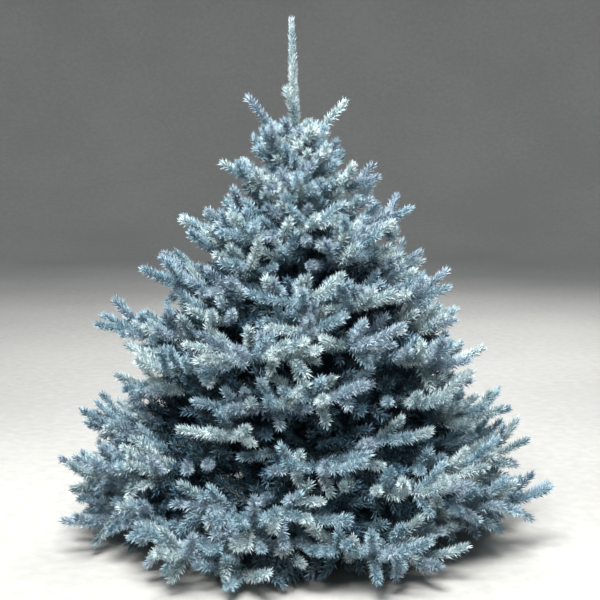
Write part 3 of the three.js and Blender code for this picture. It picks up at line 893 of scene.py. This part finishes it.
def grow(bough, start, angle, wanted, climb, order, seed):
    """One axis of yearly lengths with its side shoots; start is out, aside and rise."""
    tier_index = bough["tier_index"]
    for shorter in SHORTER_TRIES:
        length = wanted * shorter
        if fits(bough, strand(bough, start, angle, length, climb * shorter, [1])[0]):
            break
    else:
        return
    climb = climb * length / wanted
    years = max(1, round(length / YEAR_GROWTH))
    for year in range(years):
        shares = np.linspace(year / years, (year + 1) / years, PATH_POINTS)
        shoots.append(
            dict(
                tier_index=tier_index,
                path=strand(bough, start, angle, length, climb, shares),
                age=years - 1 - year,
                order=order,
                seed=seed,
            )
        )
    if order == MOST_ORDERS:
        return
    for year in range(years - 1):
        for i in range(LESSER_SHOOTS):
            lesser_seed = seed * 11 + year * 5 + i
            joint = (
                year
                + LESSER_FIRST_PLACE
                + LESSER_PLACE_STEP * i
                + LESSER_PLACE_SPREAD * chance(tier_index, lesser_seed, 21)
            ) / years
            side = -1 if (year + i + seed) % 2 else 1
            turn = angle + side * FORK_ANGLE * (
                1 + LESSER_ANGLE_SPREAD * swing(tier_index, lesser_seed, 22)
            )
            lesser_length = LESSER_LENGTH * (
                1 + LESSER_LENGTH_SPREAD * swing(tier_index, lesser_seed, 23)
            )
            lesser_climb = LESSER_CLIMB * swing(tier_index, lesser_seed, 24)
            foot = axis_point(start, angle, length, climb, joint)
            grow(bough, foot, turn, lesser_length, lesser_climb, MOST_ORDERS, lesser_seed)
    for year in range(1, years):
        joint = year / years
        foot = axis_point(start, angle, length, climb, joint)
        for side in (-1, 1):
            fork_seed = seed * 7 + year * 3 + side
            fork_angle = angle + side * (
                FORK_ANGLE + FORK_ANGLE_SPREAD * swing(tier_index, fork_seed, 11)
            )
            fork_length = max(FORK_LEAST, FORK_SHARE * (1 - joint) * length)
            fork_length *= 1 + FORK_LENGTH_SPREAD * swing(tier_index, fork_seed, 12)
            fork_climb = FORK_CLIMB_SPREAD * swing(tier_index, fork_seed, 13) + FORK_CLIMB
            grow(bough, foot, fork_angle, fork_length, fork_climb, order + 1, fork_seed)
        stand_up(bough, foot, angle, seed * 5 + year)


def stand_up(bough, foot, angle, seed):
    """Short shoots that stand up and hang at a joint; fewer hang from the higher boughs."""
    tier_index = bough["tier_index"]
    size = max(UPRIGHT_LEAST_SIZE, min(1, bough["reach"] / UPRIGHT_FULL_REACH))
    for kind, climb in enumerate((UPRIGHT_CLIMB, HANGING_CLIMB)):
        is_usual = kind == 0 or bough["heights"][3] < LOW_TIP_HEIGHT
        likely = USUAL_CHANCE if is_usual else HIGH_HANGING_CHANCE
        if chance(tier_index, seed, 15 + kind) > likely:
            continue
        turn = angle + TOP_TURN * swing(tier_index, seed, 17 + kind)
        length = size * UPRIGHT_LENGTH
        length *= 1 + UPRIGHT_LENGTH_SPREAD * swing(tier_index, seed, 19 + kind)
        grow(bough, foot, turn, length, size * climb, MOST_ORDERS, seed * 3 + kind)


def grow_fan(bough):
    """All shoots of one bough: its own axis, its side sprays and those on top of it."""
    reach, tier_index, index = bough["reach"], bough["tier_index"], bough["index"]
    first_run = max(bough["bare"], float(trunk_radius(bough["heights"][0])) / reach)
    years = max(1, round((1 - first_run) * reach / YEAR_GROWTH))
    edges = lerp(first_run, TIP_RUN, np.linspace(0, 1, years + 1) ** LATER_GROWTH)
    for year in range(years):
        runs = np.linspace(edges[year], edges[year + 1], PATH_POINTS)
        shoots.append(
            dict(
                tier_index=tier_index,
                path=fan_points(bough, runs * reach, 0, 0),
                age=years - 1 - year,
                order=1,
                seed=100 * index,
            )
        )
        if year:
            stand_up(bough, (edges[year] * reach, 0, 0), 0, 100 * index + 80 + year)
    for pair in range(bough["pairs"]):
        for side in (-1, 1):
            seed = 100 * index + 10 * pair + side + 2
            place = (pair + 0.5 + PAIR_OFFSET * side) / bough["pairs"]
            run = lerp(first_run, 1, lerp(FIRST_SPRAY, LAST_SPRAY, place))
            angle = side * (SPRAY_ANGLE + SPRAY_ANGLE_SPREAD * swing(tier_index, seed, 4))
            least = SPRAY_LEAST * min(1, reach / FULL_SIZE_REACH)
            spray_share = lerp(*SPRAY_SHARES, min(1, reach / FULL_REACH))
            wanted = max(least, spray_share * (1 - run) * reach)
            climb = SPRAY_CLIMB + CLIMB_SPREAD * swing(tier_index, seed, 5)
            climb -= LEVELLING * bough["lift"]
            grow(bough, (run * reach, 0, 0), angle, wanted, climb, 2, seed)
    for i in range(bough["tops"]):
        seed = 100 * index + 60 + i
        place = i + TOP_PLACE + TOP_PLACE_SPREAD * chance(tier_index, seed, 7)
        place /= bough["tops"] + 0.5
        size = min(1, reach / TOP_FULL_REACH)
        angle = TOP_TURN * swing(tier_index, seed, 4)
        start = (lerp(first_run, 1, place) * reach, 0, 0)
        grow(bough, start, angle, size * TOP_LENGTH, size * TOP_CLIMB, 3, seed)


for bough in boughs:
    grow_fan(bough)

# Shoots also stand all round the trunk between the whorls, long ones low down and short ones
# high up.
TRUNK_SHOOTS = 320
TRUNK_SHOOT_SPAN = (0.4, 1.38)
TRUNK_SHOOT_LENGTHS = (0.38, 0.1)
TRUNK_SHOOT_SPREAD = 0.2
TRUNK_SHOOT_START = 0.05
TRUNK_SHOOT_RISE = math.radians(34)
SPIRAL_TURN = math.radians(137.5)

for i in range(TRUNK_SHOOTS):
    height = lerp(*TRUNK_SHOOT_SPAN, (i + 0.5) / TRUNK_SHOOTS)
    length = lerp(*TRUNK_SHOOT_LENGTHS, i / TRUNK_SHOOTS)
    length *= 1 + TRUNK_SHOOT_SPREAD * swing(i, 1, 41)
    turn = i * SPIRAL_TURN
    out = np.array([math.cos(turn), math.sin(turn), 0]) * math.cos(TRUNK_SHOOT_RISE)
    foot = np.array([trunk_shift(height), 0, height])
    heading = out + [0, 0, math.sin(TRUNK_SHOOT_RISE)]
    shares = np.linspace(TRUNK_SHOOT_START, 1, PATH_POINTS)[:, None]
    shoots.append(
        dict(
            tier_index=next(
                k for k, tier in reversed(list(enumerate(TIERS))) if tier["heights"][0] < height
            ),
            path=foot + shares * length * heading,
            age=0,
            order=MOST_ORDERS,
            seed=i,
        )
    )

# Twigs
# The wood inside the shoots, a few millimetres thick: grey-blue with bloom on the newest growth,
# and brown on the years before it. New twigs deep in the crown, or low under it, are brown as
# well, as painted shade.

TWIG_SIDES = 3
TWIG_NEW_RADIUS = 0.0022
TWIG_YEAR_RADIUS = 0.0006
TWIG_YEARS = 4  # over which a twig thickens
LIT_DEPTH = 0.23  # how far into the crown shoots keep their pale tones; deeper ones are given dark needle and twig tones as painted shade
LOW_HEIGHT = 0.09  # below this, only the outermost shoots keep pale tones, and the others are given painted shade
LOW_LIT_DEPTH = 0.12
CROWN_TIP_RADIUS = 0.02
TWIG_TONES = {"new": ("#6E8690", "#9DB2BA"), "old_and_painted_shade": ("#2E2A27", "#57504A")}

crown_outline = [(0.0, SKIRT["reach"])]
crown_outline += [(tier["heights"][3], tier["reach"]) for tier in TIERS]
crown_outline += [(TREE_TOP, CROWN_TIP_RADIUS)]


def is_shaded(shoot):
    """Whether a shoot lies deep inside the crown, where the light is poor. Such a shoot is given
    dark needle and twig tones as painted shade.
    """
    x, y, height = shoot["path"][-1]
    outer = np.interp(height, *zip(*crown_outline))
    depth = outer - math.hypot(x - float(trunk_shift(height)), y)
    return depth > LIT_DEPTH or (height < LOW_HEIGHT and depth > LOW_LIT_DEPTH)


twig_faces = grid_faces(PATH_POINTS, TWIG_SIDES)
twig_tubes = {"new": [], "old_and_painted_shade": []}
for shoot in shoots:
    if shoot["order"] == 1 and shoot["age"]:
        continue
    foot = TWIG_NEW_RADIUS + TWIG_YEAR_RADIUS * min(shoot["age"] + 1, TWIG_YEARS)
    radii = np.linspace(foot, foot - TWIG_YEAR_RADIUS, PATH_POINTS)
    tube = tube_points(shoot["path"], np.repeat(radii[:, None], TWIG_SIDES, axis=1))
    # New twigs deep in the crown, or low under it, are given the brown bark as painted shade.
    growth = "old_and_painted_shade" if shoot["age"] or is_shaded(shoot) else "new"
    twig_tubes[growth].append(tube.reshape(-1, 3))

for growth, tubes in twig_tubes.items():
    # Twig bark: dull, bloomed over on the newest growth, and brown on older growth and, as painted
    # shade, on new growth deep in the crown.
    make_piece(
        f"twigs_{growth}",
        np.concatenate(tubes),
        repeated_faces(twig_faces, PATH_POINTS * TWIG_SIDES, len(tubes)),
        two_tone_material(
            f"spruce_twig_bark_{growth}",
            TWIG_TONES[growth],
            grain=0.002,
            patches=0.04,
            roughness=(0.7, 0.85),
            relief=0.0003,
        ),
    )

# Needles
# Stiff four-sided needles with a coat of pale wax, set in a spiral round each shoot and swept
# up and forward. Each is two faces folded along its ridge. New needles have the most wax.

NEEDLE_LENGTH = 0.028
NEEDLE_LENGTH_SPREAD = 0.1
NEEDLE_WIDTH = 0.0045  # drawn three times as wide as it is, for the count's sake
NEEDLE_FOLD = 0.35  # depth of the fold against the width
NEEDLE_WIDEST = 0.5  # share of the length where the needle is widest
NEEDLE_LEANS = (math.radians(28), math.radians(74))
TIP_EASE = 9
TIP_CROWDING = 0.85  # below one, the needles stand closer towards a shoot's tip
UP_SWEEP = 0.14
ROLL_SPREAD = 0.55
NEEDLES_PER_METRE = (1520, 1000, 650, 450)  # on the newest length, and on those before it
SHADED_NEEDLES_PER_METRE = 430
SHADED_WIDTH = 1.5  # their needles are drawn wider by this, as there are fewer
OLDEST = len(NEEDLES_PER_METRE) - 1
ASIDE_NUDGE = 0.01  # keeps a needle's heading and the direction beside it apart
PALER_SHARE = 0.4  # of the older sprays, and of those with painted shade, have the paler one of their two tones
NEW_TONE_LIMITS = (0.36, 0.72)  # silver below the first, powder below the second, else lilac

# steel and teal are the tones of older needles, and also painted shade on sprays deep in the
# crown.
TONES = {
    "silver": ("#7F9CA4", "#D6E3E4"),
    "powder": ("#668897", "#B4CCD6"),
    "lilac": ("#6B8495", "#B3C4CF"),
    "steel": ("#38586C", "#7696A8"),
    "teal": ("#1D3743", "#41606D"),
}


def needle_points(
    path, count, leans=NEEDLE_LEANS, sweep=UP_SWEEP, closing=1, width=NEEDLE_WIDTH
):
    """Four corners for each needle of one shoot: foot, right, tip and left.

    closing is 1 where the needles close over the shoot's tip, and 0 where another length
    follows.
    """
    share = (np.arange(count) + rng.uniform(0, 1, count)) / count
    share = share ** lerp(1, TIP_CROWDING, closing)
    along = share * (len(path) - 1)
    step = np.minimum(along.astype(int), len(path) - 2)
    heading = unit(path[step + 1] - path[step])
    foot = path[step] + (path[step + 1] - path[step]) * (along - step)[:, None]
    level, upright = cross_axes(heading)
    turn = np.arange(count) * SPIRAL_TURN + rng.uniform(0, 2 * math.pi)
    around = np.cos(turn)[:, None] * upright + np.sin(turn)[:, None] * level
    lean = rng.uniform(*leans, count)
    lean *= lerp(1, rng.uniform(0, 1, count), closing * share**TIP_EASE)
    direction = np.cos(lean)[:, None] * heading + np.sin(lean)[:, None] * around
    direction = unit(direction + sweep * upright)
    length = NEEDLE_LENGTH * (1 + NEEDLE_LENGTH_SPREAD * rng.uniform(-1, 1, count))
    across = unit(np.cross(direction, around + ASIDE_NUDGE * level))
    outer = np.cross(across, direction)
    roll = rng.normal(0, ROLL_SPREAD, count)
    across, outer = (
        np.cos(roll)[:, None] * across + np.sin(roll)[:, None] * outer,
        np.cos(roll)[:, None] * outer - np.sin(roll)[:, None] * across,
    )
    tip = foot + direction * length[:, None]
    middle = lerp(foot, tip, NEEDLE_WIDEST) + outer * width * NEEDLE_FOLD
    half = across * width / 2
    corners = np.stack([foot, middle + half, tip, middle - half], axis=1)
    corners[..., 2] = np.maximum(corners[..., 2], 0)  # none reaches below the ground
    return corners


NEEDLE_CORNERS = 4
NEEDLE_FACES = np.array([(0, 1, 2), (0, 2, 3)])


def tone_of(shoot):
    """The newest needles are the palest, a spray differs a little from its neighbours, and sprays
    deep in the crown take the dark tones as painted shade.
    """
    draw = chance(shoot["tier_index"], shoot["seed"], 31)
    # A spray deep in the crown, or low under it, takes the dark tones of older needles as painted
    # shade.
    if shoot["age"] > 1 or is_shaded(shoot):
        return "steel" if draw < PALER_SHARE else "teal"
    if shoot["age"] == 1:
        return "powder" if draw < PALER_SHARE else "steel"
    silver_limit, powder_limit = NEW_TONE_LIMITS
    return "silver" if draw < silver_limit else "powder" if draw < powder_limit else "lilac"


sprays = {}
for shoot in shoots:
    length = np.linalg.norm(np.diff(shoot["path"], axis=0), axis=1).sum()
    density = NEEDLES_PER_METRE[min(shoot["age"], OLDEST)]
    width = NEEDLE_WIDTH
    if is_shaded(shoot):
        density = min(density, SHADED_NEEDLES_PER_METRE)
        width *= SHADED_WIDTH
    count = int(density * length)
    key = (shoot["tier_index"], tone_of(shoot))
    sprays.setdefault(key, []).append(needle_points(shoot["path"], count, width=width))

# Waxed needles: satin, blue-grey, each tone a mix of a clean and a dusty blue.
needle_materials = {
    tone: two_tone_material(
        f"spruce_needles_{tone}_waxed",
        colours,
        grain=0.006,
        patches=0.07,
        roughness=(0.5, 0.66),
        IOR=1.45,
    )
    for tone, colours in TONES.items()
}

for (tier_index, tone), parts in sorted(sprays.items()):
    corners = np.concatenate(parts)
    make_piece(
        f"needles_{label_of(tier_index)}_{tone}",
        corners.reshape(-1, 3),
        repeated_faces(NEEDLE_FACES, NEEDLE_CORNERS, len(corners)),
        needle_materials[tone],
        replaced=nodes_of("foliage", tier_index),
        smooth=False,
    )

# Buds
# A blunt cone of papery pale brown scales at the tip of each new shoot that has light, about
# 8 mm long.

BUD_RADIUS = 0.0027
BUD_LENGTH = 0.008
BUD_SIDES = 4
BUD_PROFILE = ((1.0, 0.0), (0.12, 1.0))

bud_faces = grid_faces(len(BUD_PROFILE), BUD_SIDES)
bud_points = []
for shoot in shoots:
    if shoot["age"] or is_shaded(shoot):
        continue
    path = shoot["path"]
    heading = unit(path[-1] - path[-2])
    shares = np.array([share for _, share in BUD_PROFILE])
    radii = BUD_RADIUS * np.array([radius for radius, _ in BUD_PROFILE])
    spine = path[-1] + (shares * BUD_LENGTH)[:, None] * heading
    bud_points.append(
        tube_points(spine, np.repeat(radii[:, None], BUD_SIDES, axis=1)).reshape(-1, 3)
    )
# Bud scales: papery and pale tan with a trace of resin.
make_piece(
    "buds",
    np.concatenate(bud_points),
    repeated_faces(bud_faces, len(BUD_PROFILE) * BUD_SIDES, len(bud_points)),
    two_tone_material(
        "spruce_bud_scales",
        ("#8F8B84", "#C4BEB2"),
        grain=0.002,
        patches=0.03,
        roughness=(0.45, 0.7),
        relief=0.0003,
    ),
)

# Leader
# The trunk's topmost shoot. Its needles lie closer to it towards the tip, and a stub with
# needles of its own stands at its left.

LEADER_FOOT = 1.4
LEADER_END = 1.772
LEADER_POINTS = 12
LEADER_NEEDLES = 1400
LEADER_LEANS = ((24, 74), (6, 24))  # degrees, at its foot and at its tip
STUB_FOOT = (-0.014, -0.004, 1.462)
STUB_TIP = (-0.046, -0.012, 1.545)
STUB_NEEDLES = 170

leader_heights = np.linspace(LEADER_FOOT, LEADER_END, LEADER_POINTS)
leader_path = np.stack(
    [trunk_shift(leader_heights), np.zeros(LEADER_POINTS), leader_heights], axis=-1
)
leader_lengths = LEADER_POINTS - 1
stub_path = np.linspace(STUB_FOOT, STUB_TIP, PATH_POINTS)
leader_corners = np.concatenate(
    [
        *(
            needle_points(
                leader_path[i : i + 2],
                LEADER_NEEDLES // leader_lengths,
                np.radians(lerp(*np.array(LEADER_LEANS), i / leader_lengths)),
                sweep=0.0,
                closing=0,
            )
            for i in range(leader_lengths)
        ),
        needle_points(stub_path, STUB_NEEDLES),
    ]
)
make_piece(
    "leader_brush",
    leader_corners.reshape(-1, 3),
    repeated_faces(NEEDLE_FACES, NEEDLE_CORNERS, len(leader_corners)),
    needle_materials["silver"],
    replaced=["leader_needles"],
    smooth=False,
)

# Floor and lights
# A plain pale floor that rises to a backdrop, under a soft overcast sky, with a large panel
# above and to the front and a weaker one behind.

FLOOR_RADIUS = 9.0
FLOOR_CENTRE_RADIUS = 1e-3
BACKDROP_RISE = 6.0
BACKDROP_STEPS = 24
FLOOR_SIDES = 96
SKY_STRENGTH = 0.3
PANELS = {
    "key_panel": dict(place=(-0.6, -2.5, 4.9), size=3.2, power=740),
    "rear_panel": dict(place=(1.2, 4.6, 4.2), size=3.0, power=260),
}
AIM = (0.0, 0.0, 0.8)

sweep = np.linspace(0, math.pi / 2, BACKDROP_STEPS)
floor_profile = [
    (FLOOR_CENTRE_RADIUS, 0.0),
    (FLOOR_RADIUS / 2, 0.0),
    *zip(
        FLOOR_RADIUS + BACKDROP_RISE * np.sin(sweep),
        BACKDROP_RISE * (1 - np.cos(sweep)),
    ),
]
floor = make_object(
    "floor",
    lathe_points(floor_profile, FLOOR_SIDES).reshape(-1, 3),
    grid_faces(len(floor_profile), FLOOR_SIDES),
    two_tone_material(
        "pale_concrete_floated",
        ("#A6A5A1", "#B0AFAB"),
        grain=0.05,
        patches=1.4,
        roughness=(0.75, 0.85),
    ),
)

sky = bpy.data.worlds.new("overcast_sky")
sky.use_nodes = True
sky.node_tree.nodes["Background"].inputs["Color"].default_value = linear("#E2EBF4")
sky.node_tree.nodes["Background"].inputs["Strength"].default_value = SKY_STRENGTH
scene.world = sky

for name, panel in PANELS.items():
    lamp = bpy.data.lights.new(name, "AREA")
    lamp.shape = "DISK"
    lamp.size = panel["size"]
    lamp.energy = panel["power"]
    light = bpy.data.objects.new(name, lamp)
    light.location = panel["place"]
    aim = Vector(AIM) - Vector(panel["place"])
    light.rotation_euler = aim.to_track_quat("-Z", "Y").to_euler()
    scene.collection.objects.link(light)
